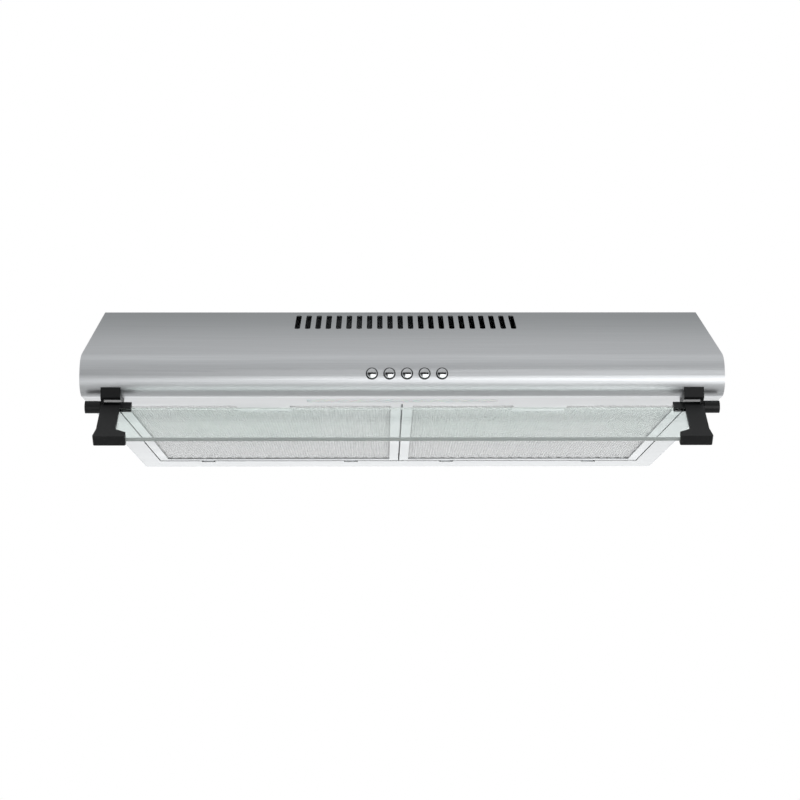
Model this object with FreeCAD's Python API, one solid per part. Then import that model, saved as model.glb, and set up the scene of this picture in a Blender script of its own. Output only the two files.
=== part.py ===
import FreeCAD
import Part
import math
import os

# Under-cabinet range hood: a bent steel canopy with a row of vent slots and a round nose,
# five push buttons, two mesh grease filters that swing down, a glass visor on two hinged
# arms, a centrifugal fan in a scroll housing, and a duct collar with two flaps.
#
# Millimetres.  X runs to the hood's right, Y from the front edge to the wall, Z up.
# The origin is the middle of the four cabinet screw holes, on the flat top face.

# Whole hood
HOOD_WIDTH = 600.0
HOOD_DEPTH = 500.0
HOOD_HEIGHT = 110.0
SHEET = 1.0
SCREWS_TO_REAR = 165.0

# Clearances
SEAM = 0.1
REST_GAP = 0.3
RUN_FIT = 0.05
OVERRUN = 3.0

# Canopy bends, seen from the side
SLOPE_ANGLE = 27.0
NOSE_R = 20.0
NOSE_LAND = 5.0
LIP_R = 17.0
LIP_RUN = 5.0
BEND_R = 3.0

# Vent slots in the slope
SLOT_COUNT = 22
SLOT_PITCH = 10.15
SLOT_WIDTH = 5.4
SLOT_LENGTH = 52.0
SLOT_TO_BEND = 13.0
CONTROLS_X = 4.0

# Screw holes for the cabinet above and the wall behind
CABINET_SCREW_INSET = 50.0
CABINET_SPACING_Y = 220.0
CABINET_HOLE_R = 2.5
WALL_SCREW_INSET = 80.0
WALL_SPACING_Z = 60.0
WALL_HOLE_R = 3.0
WALL_ROW_DROP = 25.0

# Underframe: the pressed tray round the two filters
FRONT_RAIL = 38.0
REAR_RAIL = 45.5
SIDE_RAIL = 22.0
RAIL_FLANGE = 8.0
OUTER_FLANGE = 12.0
JOGGLE = 4.0
CENTRE_BAR_WIDTH = 24.0
CENTRE_BAR_T = 2.5

# Grease filters
FILTER_T = 8.5
FILTER_RECESS = 0.5
FILTER_FRONT_GAP = 1.0
FILTER_REAR_GAP = 2.0
FILTER_SIDE_GAP = 1.0
FILTER_MIDDLE_GAP = 1.5
FILTER_BORDER = 10.0
FILTER_SKIN = 1.0
NET_T = 1.5
NET_COLUMNS = 8
NET_ROWS = 9
NET_STRAND = 3.0

# Filter hinge: a rolled bead on a tongue, held in an open hook
BEAD_R = 1.6
TONGUE_T = 1.2
HOOK_R = 3.2
HOOK_WIDTH = 12.0
HOOK_SET_BACK = 6.0
HOOK_INSET = 55.0
HOOK_NOTCH = 2.0
HOOK_FOOT = 7.0
HOOK_MOUTH_TOP = 150.0
HOOK_MOUTH_LOW = 276.0

# Filter latch: a sliding plate with a finger lip
LATCH_WIDTH = 40.0
LATCH_T = 1.2
LATCH_LENGTH = 42.0
LATCH_LIP_BACK = 31.0
LATCH_LIP_T = 2.0
LATCH_LIP_DROP = 0.6
LATCH_TRAVEL = 5.0
LATCH_TO_MIDDLE = 134.0
POCKET_MARGIN = 6.0
FINGER_ROOM = 9.0
TONGUE_WIDTH = 30.0

# Push buttons and their switch
BUTTON_COUNT = 5
BUTTON_PITCH = 16.3
BUTTON_HEIGHT = 18.7
BUTTON_R = 4.6
BUTTON_PROUD = 3.2
BUTTON_DEPTH = 6.0
BUTTON_DISH = 0.5
BUTTON_RIM = 0.8
BUTTON_FLOOR_R = 2.4
BUTTON_EDGE = 0.5
BUTTON_TRAVEL = 2.5
STEM_R = 2.0
STEM_LENGTH = 8.0
SLEEVE_WALL = 0.5
SLEEVE_PROUD = 0.4
SWITCH_FACE_T = 2.0
SWITCH_GUIDE_LENGTH = 8.0
SWITCH_DEPTH = 14.0
SWITCH_HALF_HEIGHT = 7.0
SWITCH_END_MARGIN = 9.0
SWITCH_BRACKET_WIDTH = 14.0
SWITCH_BRACKET_T = 1.2
SWITCH_FOOT = 9.0

# Lamp in the front rail
LAMP_WIDTH = 180.0
LAMP_DEPTH = 16.0
LAMP_LENS_T = 2.0
LAMP_SEAT = 3.0
LAMP_TRAY_HEIGHT = 14.0
LAMP_TRAY_WALL = 1.2
LED_WIDTH = 150.0
LED_DEPTH = 12.0
LED_T = 1.6
LED_CHIPS = 9
LED_CHIP = 3.0
LED_CHIP_T = 0.8

# Glass visor and its hinged arms
VISOR_PIVOT_BACK = 9.0
VISOR_PIVOT_DROP = 11.2
VISOR_TILT = 45.0
HEAD_INSET = 48.0
STEM_INSET = 38.0
STEM_WIDTH = 17.5
WEB_INSET = 22.0
WEB_T = 2.5
KNUCKLE_INSET = 5.0
KNUCKLE_R = 5.8
EYE_R = 4.2
PIN_R = 1.5
PIN_LENGTH = 24.0
HEAD_HALF_T = 3.5
HEAD_TOP = 3.2
HEAD_DROP = 6.0
ARM_STEM_T = 3.5
SHOULDER_TOP = 4.0
ARM_LENGTH = 54.0
FOOT_HEIGHT = 11.0
FOOT_LIP = 2.4
FOOT_PROUD = 0.5
FOOT_FLARE = 2.0
FOOT_CHAMFER = 1.0
FOOT_SHOULDER = 4.5
GLASS_T = 4.0
GLASS_TOP = 3.4
GLASS_BOTTOM_COVER = 3.0
GLASS_END_WALL = 3.0
LUG_DROP = 5.0
LUG_FRONT = 3.3
LUG_RISE = 6.5
LUG_BEVEL = 2.0
WEB_HALF = 2.0
LUG_SCREW_CLEAR = 1.3
LUG_SCREW_WALL = 1.6

# Duct collar and its two flaps
COLLAR_R = 60.0
COLLAR_WALL = 1.4
COLLAR_HEIGHT = 32.0
COLLAR_FLANGE = 12.0
COLLAR_FLANGE_T = 1.5
COLLAR_TO_REAR = 80.0
FLAP_T = 1.2
FLAP_HEIGHT = 14.0
FLAP_EDGE_GAP = 1.3
FLAP_OFFSET = 2.6
FLAP_PIVOT_R = 1.2
BRIDGE_HALF = 1.0
LEDGE_WIDTH = 3.0
LEDGE_T = 1.0
LEDGE_DROP = 0.9
LEDGE_RELIEF = 0.6
COLLAR_SCREWS = 4
COLLAR_SCREW_TURN = 45.0
BRIDGE_HALF_HEIGHT = 1.5

# Scroll housing and inlet
HOUSING_HEIGHT = 62.0
HOUSING_WALL = 2.0
SCROLL_GAP = 6.0
SCROLL_GROWTH = 9.0
OUTLET_WIDTH = 80.0
TONGUE_R = 6.0
OUTLET_AHEAD = 3.0
OUTLET_MARGIN = 5.4
INLET_INSET = 2.5
INLET_LIP_HEIGHT = 6.5
EAR_WIDTH = 16.0
EAR_LENGTH = 14.0
EAR_T = 3.0

# Impeller, motor and bracket
IMPELLER_R = 70.0
BLADE_DEPTH = 13.5
BLADE_COUNT = 36
BLADE_T = 0.9
BLADE_EDGE = 0.5
BLADE_SWEEP = 9.0
BLADE_BOW = 3.2
IMPELLER_HEIGHT = 48.0
IMPELLER_DROP = 3.0
BACK_PLATE_T = 1.5
END_RING_WIDTH = 4.0
END_RING_T = 2.0
HUB_R = 9.0
HUB_HEIGHT = 8.0
SHAFT_R = 3.0
SHAFT_TOP_PROUD = 1.0
BEARING_R = 6.0
BEARING_HEIGHT = 7.0
SHAFT_BORE_R = 3.8
MOTOR_R = 31.0
MOTOR_BELL_R = 28.0
MOTOR_STACK_INSET = 12.0
MOTOR_FLOOR = 1.5
MOTOR_TOP_GAP = 2.5
MOTOR_CAP_R = 14.0
MOTOR_CAP_HEIGHT = 7.0
MOTOR_EDGE = 3.0
BRACKET_T = 3.0
BRACKET_RING_R = 34.0
BRACKET_HOLE_R = 15.0
BRACKET_ARM_WIDTH = 10.0
BRACKET_END = 5.0
BRACKET_SCREW_OUT = 8.0
BRACKET_ARMS = 3
BRACKET_TURN = 90.0

# Terminal box, capacitor and cable gland
BOX_BESIDE_FAN = 44.0
BOX_WIDTH = 84.0
BOX_DEPTH = 62.0
BOX_HEIGHT = 36.0
BOX_WALL = 2.0
BOX_TO_REAR = 22.0
TERMINAL_WIDTH = 44.0
TERMINAL_DEPTH = 18.0
TERMINAL_HEIGHT = 14.0
TERMINAL_POLES = 4
CAPACITOR_R = 14.0
CAPACITOR_LENGTH = 58.0
CLIP_GAP = 1.0
CLIP_WIDTH = 12.0
CLIP_T = 1.2
CLIP_FOOT = 12.0
GLAND_R = 7.0
GLAND_FLANGE_R = 10.5
GLAND_FLANGE_T = 2.5
GLAND_BORE_R = 3.6
GLAND_DROP = 18.0
GLAND_LENGTH = 10.0
GLAND_NUT_R = 8.5

# Screws
SCREW_R = 1.7
SCREW_HEAD_R = 3.4
SCREW_HEAD_T = 2.0

# Places worked out from the sizes above
rear = SCREWS_TO_REAR
front = rear - HOOD_DEPTH
under = -HOOD_HEIGHT
half_width = HOOD_WIDTH / 2
slope = math.radians(SLOPE_ANGLE)
nose_y = front + NOSE_R
nose_z = under + LIP_R + NOSE_LAND
bend_y = nose_y - NOSE_R * math.sin(slope) - (nose_z + NOSE_R * math.cos(slope)) / math.tan(slope)
lip_end = front + LIP_R + LIP_RUN
opening_front = lip_end + FRONT_RAIL
lug_screw_y = lip_end + SCREW_R + LUG_SCREW_CLEAR
opening_rear = rear - REAR_RAIL
opening_side = half_width - SIDE_RAIL
cheek_inner = half_width - SHEET
rail_top = under + SHEET
filter_low = under + FILTER_RECESS
filter_top = filter_low + FILTER_T
filter_front = opening_front + FILTER_FRONT_GAP
filter_rear = opening_rear - FILTER_REAR_GAP
filter_outer = opening_side - FILTER_SIDE_GAP
filter_inner = FILTER_MIDDLE_GAP / 2
hinge_y = opening_rear + HOOK_SET_BACK
hinge_z = filter_low + FILTER_T / 2
latch_low = filter_low + FILTER_SKIN + REST_GAP
button_z = under + BUTTON_HEIGHT
sleeve_inner_r = BUTTON_R + SEAM
sleeve_r = sleeve_inner_r + SLEEVE_WALL
switch_low = button_z - SWITCH_HALF_HEIGHT
switch_top = button_z + SWITCH_HALF_HEIGHT
nose_inside = nose_y - math.sqrt((NOSE_R - SHEET) ** 2 - (switch_top - nose_z) ** 2)
lip_inside = front + LIP_R - math.sqrt((LIP_R - SHEET) ** 2 - (switch_low - under - LIP_R) ** 2)
switch_face = max(nose_inside, lip_inside) + REST_GAP
switch_block = switch_face + SWITCH_FACE_T + SWITCH_GUIDE_LENGTH
switch_back = switch_block + SWITCH_DEPTH
pivot_y = front + VISOR_PIVOT_BACK
pivot_z = under - VISOR_PIVOT_DROP
head_inner_x = half_width - HEAD_INSET
stem_inner_x = half_width - STEM_INSET
stem_outer_x = stem_inner_x + STEM_WIDTH
web_inner_x = half_width - WEB_INSET
knuckle_outer_x = half_width - KNUCKLE_INSET
collar_y = rear - COLLAR_TO_REAR
flap_z = FLAP_HEIGHT
collar_bore_r = COLLAR_R - COLLAR_WALL
outlet_end_r = collar_bore_r + OUTLET_MARGIN
scroll_r = IMPELLER_R + SCROLL_GAP
blade_inner_r = IMPELLER_R - BLADE_DEPTH
inlet_r = blade_inner_r - INLET_INSET
bracket_screw_r = inlet_r + BRACKET_SCREW_OUT
bracket_reach = bracket_screw_r + BRACKET_END
fan_x = OUTLET_WIDTH / 2 - scroll_r - 4 * SCROLL_GROWTH
fan_y = collar_y - outlet_end_r - OUTLET_AHEAD - scroll_r
housing_top = -SHEET
housing_low = housing_top - HOUSING_HEIGHT
impeller_top = housing_top - HOUSING_WALL - IMPELLER_DROP
impeller_low = impeller_top - IMPELLER_HEIGHT
motor_top = impeller_top - HUB_HEIGHT - MOTOR_TOP_GAP
box_rear = rear - BOX_TO_REAR
box_front = box_rear - BOX_DEPTH
box_x = outlet_end_r + BOX_BESIDE_FAN + BOX_WIDTH / 2
capacitor_y = box_front - CLIP_GAP - CLIP_FOOT - CLIP_T - CAPACITOR_R


def point(x, y, z):
    return FreeCAD.Vector(x, y, z)


def box(x0, x1, y0, y1, z0, z1):
    return Part.makeBox(x1 - x0, y1 - y0, z1 - z0, point(x0, y0, z0))


def post(radius, x, y, z0, z1):
    """An upright cylinder."""
    return Part.makeCylinder(radius, z1 - z0, point(x, y, z0))


def rod_x(radius, x0, x1, y, z):
    """A cylinder lying along X."""
    return Part.makeCylinder(radius, x1 - x0, point(x0, y, z), point(1, 0, 0))


def rod_y(radius, x, y0, y1, z):
    """A cylinder lying along Y."""
    return Part.makeCylinder(radius, y1 - y0, point(x, y0, z), point(0, 1, 0))


def line(a, b):
    return Part.makeLine(a, b)


def arc(centre, radius, a, b):
    """The short arc from a to b about a centre."""
    middle = (a + b) * 0.5 - centre
    middle.normalize()
    return Part.Arc(a, centre + middle * radius, b).toShape()


def slab(corners, along):
    """A straight prism on a closed outline of corners."""
    return Part.Face(Part.makePolygon(corners + [corners[0]])).extrude(along)


def side_slab(corners, x0, x1):
    """A prism along X on an outline of (y, z) corners."""
    return slab([point(x0, y, z) for y, z in corners], point(x1 - x0, 0, 0))


def mirrored(shape):
    return shape.mirror(point(0, 0, 0), point(1, 0, 0))


def joined(pieces):
    return pieces[0].multiFuse(pieces[1:]).removeSplitter()


def export(name, shape):
    shape.exportStep("parts/" + name + ".step")


def canopy_edges(inset):
    """The side outline from the lip's end to the wall, moved inwards by the inset."""
    lip_y = front + LIP_R
    lip_z = under + LIP_R
    bend_run = BEND_R * math.tan(slope / 2)
    bend_centre = point(0, bend_y + bend_run, -BEND_R)
    bend_in = BEND_R - inset
    nose_in = NOSE_R - inset
    up_slope = point(0, -math.sin(slope), math.cos(slope))
    lip_start = point(0, lip_end, under + inset)
    lip_low = point(0, lip_y, under + inset)
    lip_front = point(0, front + inset, lip_z)
    nose_front = point(0, front + inset, nose_z)
    nose_top = point(0, nose_y, nose_z) + up_slope * nose_in
    bend_low = bend_centre + up_slope * bend_in
    bend_top = bend_centre + point(0, 0, bend_in)
    return [
        line(lip_start, lip_low),
        arc(point(0, lip_y, lip_z), LIP_R - inset, lip_low, lip_front),
        line(lip_front, nose_front),
        arc(point(0, nose_y, nose_z), nose_in, nose_front, nose_top),
        line(nose_top, bend_low),
        arc(bend_centre, bend_in, bend_low, bend_top),
        line(bend_top, point(0, rear, -inset)),
    ]


def vent_slots():
    """One row of round-ended slots through the slope, square to it."""
    up = point(0, math.cos(slope), math.sin(slope))
    out = point(0, -math.sin(slope), math.cos(slope))
    reach = SLOT_WIDTH / 2
    top = point(0, bend_y, 0) - up * (SLOT_TO_BEND + reach) + out * OVERRUN
    low = top - up * (SLOT_LENGTH - SLOT_WIDTH)
    side = point(reach, 0, 0)
    outline = Part.Wire([
        line(low + side, top + side),
        Part.Arc(top + side, top + up * reach, top - side).toShape(),
        line(top - side, low - side),
        Part.Arc(low - side, low - up * reach, low + side).toShape(),
    ])
    slot = Part.Face(outline).extrude(out * (-2 * OVERRUN))
    row = []
    for i in range(SLOT_COUNT):
        place = CONTROLS_X + (i - (SLOT_COUNT - 1) / 2) * SLOT_PITCH
        row.append(slot.translated(point(place, 0, 0)))
    return row


def button_places():
    return [CONTROLS_X + (i - (BUTTON_COUNT - 1) / 2) * BUTTON_PITCH for i in range(BUTTON_COUNT)]


def corner_places(spacing_x, spacing_y):
    """The four corners of a hole pattern about the origin."""
    return [(i * spacing_x / 2, j * spacing_y / 2) for i in (-1, 1) for j in (-1, 1)]


def canopy():
    outer = canopy_edges(0)
    inner = canopy_edges(SHEET)
    lip_cap = line(inner[0].Vertexes[0].Point, outer[0].Vertexes[0].Point)
    rear_cap = line(outer[-1].Vertexes[-1].Point, inner[-1].Vertexes[-1].Point)
    ring = Part.Wire(Part.__sortEdges__(outer + inner + [lip_cap, rear_cap]))
    sheet = Part.Face(ring).extrude(point(HOOD_WIDTH, 0, 0))
    sheet.translate(point(-half_width, 0, 0))
    cuts = vent_slots()
    for x in button_places():
        cuts.append(rod_y(sleeve_r + SEAM, x, front - OVERRUN, front + SHEET + OVERRUN, button_z))
    for x, y in collar_screw_places():
        cuts.append(screw_hole(x, y, -SHEET, 0))
    for x, y in corner_places(HOOD_WIDTH - 2 * CABINET_SCREW_INSET, CABINET_SPACING_Y):
        cuts.append(post(CABINET_HOLE_R, x, y, -SHEET - OVERRUN, OVERRUN))
    cuts.append(post(collar_bore_r, 0, collar_y, -SHEET - OVERRUN, OVERRUN))
    return sheet.cut(cuts)


def cheek():
    """The right end panel, let into the canopy's bent edge."""
    edges = canopy_edges(SHEET + SEAM)
    start = edges[0].Vertexes[0].Point
    end = edges[-1].Vertexes[-1].Point
    corners = [end, point(0, rear, under), point(0, lip_end + SEAM, under)]
    corners.append(point(0, lip_end + SEAM, start.z))
    corners.append(start)
    rest = [line(a, b) for a, b in zip(corners, corners[1:])]
    panel = Part.Face(Part.Wire(Part.__sortEdges__(edges + rest))).extrude(point(SHEET, 0, 0))
    return panel.translated(point(cheek_inner, 0, 0))


def back_panel():
    panel = box(-cheek_inner, cheek_inner, rear - SHEET, rear, under, -SHEET)
    cuts = []
    for side in (-1, 1):
        for row in (0, 1):
            z = -WALL_ROW_DROP - row * WALL_SPACING_Z
            x = side * (half_width - WALL_SCREW_INSET)
            cuts.append(rod_y(WALL_HOLE_R, x, rear - OVERRUN, rear + OVERRUN, z))
    cuts.append(rod_y(GLAND_R, box_x, rear - OVERRUN, rear + OVERRUN, -SHEET - GLAND_DROP))
    return panel.cut(cuts)


def hook_places():
    """Middles of the four filter hooks, along X."""
    inner = filter_inner + HOOK_INSET
    outer = filter_outer - HOOK_INSET
    return [-outer, -inner, inner, outer]


def underframe():
    """Flat rails with a flange turned up round the filters and another along the walls."""
    side = cheek_inner - SEAM
    back = rear - SHEET
    inside = opening_side + SHEET
    plate = box(-side, side, lip_end + SEAM, back, under, rail_top)
    walls = box(-side, side, lip_end + JOGGLE, back, under, rail_top + OUTER_FLANGE)
    inner_side = side - SHEET
    hollow = box(-inner_side, inner_side, lip_end, back - SHEET, rail_top, rail_top + 2 * OUTER_FLANGE)
    tray = plate.fuse(walls.cut(hollow))
    lip_z = under + SHEET
    step = box(-side, side, lip_end - JOGGLE, lip_end + SEAM + SHEET, lip_z, lip_z + SHEET)
    rim = box(-inside, inside, opening_front - SHEET, opening_rear + SHEET, under, under + RAIL_FLANGE)
    opening = box(-opening_side, opening_side, opening_front, opening_rear, under - OVERRUN, 0)
    frame = joined([tray, step, rim]).cut(opening)
    cuts = [lamp_window()]
    notch = HOOK_WIDTH / 2 + HOOK_NOTCH
    for x in hook_places():
        cuts.append(box(x - notch, x + notch, opening_rear - OVERRUN, hinge_y + TONGUE_T, under - OVERRUN, 0))
    for x in (-1, 1):
        place = x * (stem_inner_x + stem_outer_x) / 2
        cuts.append(screw_hole(place, lug_screw_y, under, rail_top))
    return frame.cut(cuts)


def centre_bar():
    """The bar over the seam between the two filters."""
    half = CENTRE_BAR_WIDTH / 2
    low = filter_top + REST_GAP
    foot_low = under + RAIL_FLANGE
    y0 = opening_front - SHEET
    y1 = opening_rear + SHEET
    bar = box(-half, half, y0, y1, low, low + CENTRE_BAR_T)
    front_foot = box(-half, half, y0, opening_front, foot_low, low)
    rear_foot = box(-half, half, opening_rear, y1, foot_low, low)
    return joined([bar, front_foot, rear_foot])


def screw_hole(x, y, z0, z1):
    return post(SCREW_R + SEAM, x, y, z0 - OVERRUN, z1 + OVERRUN)


def screw_from_below(x, y, seat, grip):
    """A pan-head screw whose head lies under its seat."""
    shank = post(SCREW_R, x, y, seat, seat + grip)
    return shank.fuse(post(SCREW_HEAD_R, x, y, seat - SCREW_HEAD_T, seat))


def filter_frame():
    """The right filter's channel frame, with its latch pocket and two tongues behind."""
    skin = FILTER_SKIN
    edge = FILTER_BORDER
    outer = box(filter_inner, filter_outer, filter_front, filter_rear, filter_low, filter_top)
    channel = box(filter_inner + skin, filter_outer - skin, filter_front + skin, filter_rear - skin,
                  filter_low + skin, filter_top - skin)
    window = box(filter_inner + edge, filter_outer - edge, filter_front + edge, filter_rear - edge,
                 filter_low - OVERRUN, filter_top + OVERRUN)
    pieces = [outer.cut([channel, window]), latch_pocket()]
    for x in hook_places():
        if x > 0:
            pieces.append(rear_tongue(x))
    slot_half = TONGUE_WIDTH / 2 + REST_GAP
    slot = box(LATCH_TO_MIDDLE - slot_half, LATCH_TO_MIDDLE + slot_half, filter_front - OVERRUN,
               filter_front + skin + REST_GAP, latch_low - REST_GAP, latch_low + LATCH_T + REST_GAP)
    return joined(pieces).cut(slot)


def pocket_outline(margin):
    """Sides, front and back of the pocket plate under the latch."""
    half = LATCH_WIDTH / 2 + POCKET_MARGIN + margin
    back = filter_front + LATCH_LENGTH + LATCH_TRAVEL + POCKET_MARGIN + margin
    return LATCH_TO_MIDDLE - half, LATCH_TO_MIDDLE + half, filter_front + FILTER_SKIN, back


def latch_pocket():
    x0, x1, y0, y1 = pocket_outline(0)
    plate = box(x0, x1, y0, y1, filter_low, filter_low + FILTER_SKIN)
    half = LATCH_WIDTH / 2 + REST_GAP
    lip_y = filter_front + LATCH_LIP_BACK
    mouth = box(LATCH_TO_MIDDLE - half, LATCH_TO_MIDDLE + half, lip_y - FINGER_ROOM,
                lip_y + LATCH_LIP_T + LATCH_TRAVEL + REST_GAP, filter_low - OVERRUN, filter_top)
    return plate.cut(mouth)


def rear_tongue(x):
    half = HOOK_WIDTH / 2
    tongue = box(x - half, x + half, filter_rear, hinge_y, hinge_z - TONGUE_T / 2, hinge_z + TONGUE_T / 2)
    return tongue.fuse(rod_x(BEAD_R, x - half, x + half, hinge_y, hinge_z))


def filter_net():
    """The right filter's expanded net: offset rows of diamond gaps, cut clear of the pocket."""
    skin = FILTER_SKIN
    edge = FILTER_BORDER
    x0 = filter_inner + edge
    y0 = filter_front + edge
    cell_x = (filter_outer - edge - x0) / NET_COLUMNS
    cell_y = (filter_rear - edge - y0) / NET_ROWS
    low = filter_low + skin
    half_x = cell_x / 2 - NET_STRAND
    half_y = cell_y / 2 - NET_STRAND
    px0, px1, py0, py1 = pocket_outline(SEAM)
    plate = box(filter_inner + skin, filter_outer - skin, filter_front + skin, filter_rear - skin,
                low, low + NET_T)
    cuts = [box(px0, px1, py0 - OVERRUN, py1, low - OVERRUN, low + OVERRUN)]
    start = low - OVERRUN
    corners = [(-half_x, 0), (0, -half_y), (half_x, 0), (0, half_y)]
    diamond = slab([point(x, y, start) for x, y in corners], point(0, 0, NET_T + 2 * OVERRUN))
    for row in range(2 * NET_ROWS - 1):
        shift = (row % 2) / 2
        for column in range(NET_COLUMNS - row % 2):
            x = x0 + cell_x * (column + 1 / 2 + shift)
            y = y0 + cell_y * (row + 1) / 2
            beside = px0 - cell_x / 2 < x < px1 + cell_x / 2
            if not (beside and y < py1 + cell_y / 2):
                cuts.append(diamond.translated(point(x, y, 0)))
    return plate.cut(cuts)


def filter_latch():
    """The right filter's sliding latch: plate, front tongue and finger lip."""
    half = LATCH_WIDTH / 2
    tongue_half = TONGUE_WIDTH / 2
    x = LATCH_TO_MIDDLE
    top = latch_low + LATCH_T
    plate_front = filter_front + FILTER_SKIN + REST_GAP
    lip_y = filter_front + LATCH_LIP_BACK
    plate = box(x - half, x + half, plate_front, filter_front + LATCH_LENGTH, latch_low, top)
    tongue = box(x - tongue_half, x + tongue_half, opening_front + REST_GAP, plate_front, latch_low, top)
    lip = box(x - half, x + half, lip_y, lip_y + LATCH_LIP_T, filter_low - LATCH_LIP_DROP, latch_low)
    return joined([plate, tongue, lip])


def filter_hooks():
    """Four open hooks on the rear rail that hold the filters' beads."""
    hooks = []
    half = HOOK_WIDTH / 2
    reach = 2 * HOOK_R
    mouth_middle = (HOOK_MOUTH_TOP + HOOK_MOUTH_LOW) / 2
    corners = [(hinge_y, hinge_z)]
    for degrees in (HOOK_MOUTH_TOP, mouth_middle, HOOK_MOUTH_LOW):
        angle = math.radians(degrees)
        corners.append((hinge_y + reach * math.cos(angle), hinge_z + reach * math.sin(angle)))
    for x in hook_places():
        eye = rod_x(HOOK_R, x - half, x + half, hinge_y, hinge_z)
        foot = box(x - half, x + half, hinge_y, hinge_y + HOOK_FOOT, rail_top, hinge_z)
        bore = rod_x(BEAD_R + RUN_FIT, x - half - OVERRUN, x + half + OVERRUN, hinge_y, hinge_z)
        mouth = side_slab(corners, x - half - OVERRUN, x + half + OVERRUN)
        hooks.append(eye.fuse(foot).cut([bore, mouth]))
    return Part.makeCompound(hooks)


def lamp_outline(margin):
    half = LAMP_WIDTH / 2 + margin
    middle = (lip_end + opening_front) / 2
    reach = LAMP_DEPTH / 2 + margin
    return -half, half, middle - reach, middle + reach


def lamp_window():
    x0, x1, y0, y1 = lamp_outline(SEAM)
    return box(x0, x1, y0, y1, under - OVERRUN, rail_top + OVERRUN)


def lamp_lens():
    """A frosted strip, flush with the rail, with a flange on top of it."""
    x0, x1, y0, y1 = lamp_outline(0)
    strip = box(x0, x1, y0, y1, under, rail_top)
    x0, x1, y0, y1 = lamp_outline(LAMP_SEAT)
    return joined([strip, box(x0, x1, y0, y1, rail_top, under + LAMP_LENS_T)])


def lamp_tray():
    x0, x1, y0, y1 = lamp_outline(LAMP_SEAT)
    wall = LAMP_TRAY_WALL
    low = under + LAMP_LENS_T
    shell = box(x0, x1, y0, y1, low, low + LAMP_TRAY_HEIGHT)
    hollow = box(x0 + wall, x1 - wall, y0 + wall, y1 - wall, low - OVERRUN, low + LAMP_TRAY_HEIGHT - wall)
    return shell.cut(hollow)


def led_board():
    """A strip of small lamps under the tray's ceiling."""
    x0, x1, y0, y1 = lamp_outline(0)
    middle = (y0 + y1) / 2
    top = under + LAMP_LENS_T + LAMP_TRAY_HEIGHT - LAMP_TRAY_WALL
    low = top - LED_T
    board = box(-LED_WIDTH / 2, LED_WIDTH / 2, middle - LED_DEPTH / 2, middle + LED_DEPTH / 2, low, top)
    chips = []
    for i in range(LED_CHIPS):
        x = (i - (LED_CHIPS - 1) / 2) * LED_WIDTH / LED_CHIPS
        chips.append(box(x - LED_CHIP / 2, x + LED_CHIP / 2, middle - LED_CHIP / 2, middle + LED_CHIP / 2,
                         low - LED_CHIP_T, low))
    return joined([board] + chips)


def push_button(x):
    """A round cap with a dished face and a stem behind it."""
    face = front - BUTTON_PROUD
    cap = rod_y(BUTTON_R, x, face, front + BUTTON_DEPTH, button_z)
    rim = [e for e in cap.Edges if abs(e.BoundBox.YMin - face) < SEAM and abs(e.BoundBox.YMax - face) < SEAM]
    cap = cap.makeChamfer(BUTTON_EDGE, rim)
    dish_r = BUTTON_R - BUTTON_RIM
    dish = Part.makeCone(dish_r, BUTTON_FLOOR_R, BUTTON_DISH, point(x, face, button_z), point(0, 1, 0))
    stem_start = front + BUTTON_DEPTH
    stem = rod_y(STEM_R, x, stem_start - BUTTON_EDGE, stem_start + STEM_LENGTH, button_z)
    return cap.cut(dish).fuse(stem).removeSplitter()


def switch_span():
    places = button_places()
    return places[0] - SWITCH_END_MARGIN, places[-1] + SWITCH_END_MARGIN


def switch_body():
    """A black moulding: face plate, five guide sleeves through the nose, and the contact block."""
    x0, x1 = switch_span()
    pieces = [box(x0, x1, switch_face, switch_face + SWITCH_FACE_T, switch_low, switch_top)]
    pieces.append(box(x0, x1, switch_block, switch_back, switch_low, switch_top))
    cuts = []
    stem_reach = front + BUTTON_DEPTH + STEM_LENGTH + BUTTON_TRAVEL + REST_GAP
    for x in button_places():
        pieces.append(rod_y(sleeve_r, x, front - SLEEVE_PROUD, switch_block, button_z))
        cuts.append(rod_y(sleeve_inner_r, x, front - OVERRUN, switch_block, button_z))
        cuts.append(rod_y(STEM_R + SEAM, x, switch_block - OVERRUN, stem_reach, button_z))
    return joined(pieces).cut(cuts)


def switch_brackets():
    """Two bent feet that carry the contact block on the front rail's raised edge."""
    feet = []
    seat = rail_top + SHEET
    for x in (button_places()[0], button_places()[-1]):
        x0 = x - SWITCH_BRACKET_WIDTH / 2
        x1 = x + SWITCH_BRACKET_WIDTH / 2
        leg = box(x0, x1, switch_back, switch_back + SWITCH_BRACKET_T, seat, button_z)
        foot = box(x0, x1, switch_back - SWITCH_FOOT, switch_back, seat, seat + SWITCH_BRACKET_T)
        feet.append(joined([leg, foot]))
    return Part.makeCompound(feet)


def tilted(shape):
    """Takes a visor piece from hanging straight below its pivot to its rest place."""
    turned = shape.rotated(point(0, 0, 0), point(1, 0, 0), -VISOR_TILT)
    return turned.translated(point(0, pivot_y, pivot_z))


def glass_body(margin):
    half = stem_outer_x - GLASS_END_WALL
    side = GLASS_T / 2 + margin
    return box(-half, half, -side, side, -ARM_LENGTH + GLASS_BOTTOM_COVER, -GLASS_TOP)


def visor_glass():
    return tilted(glass_body(0))


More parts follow.
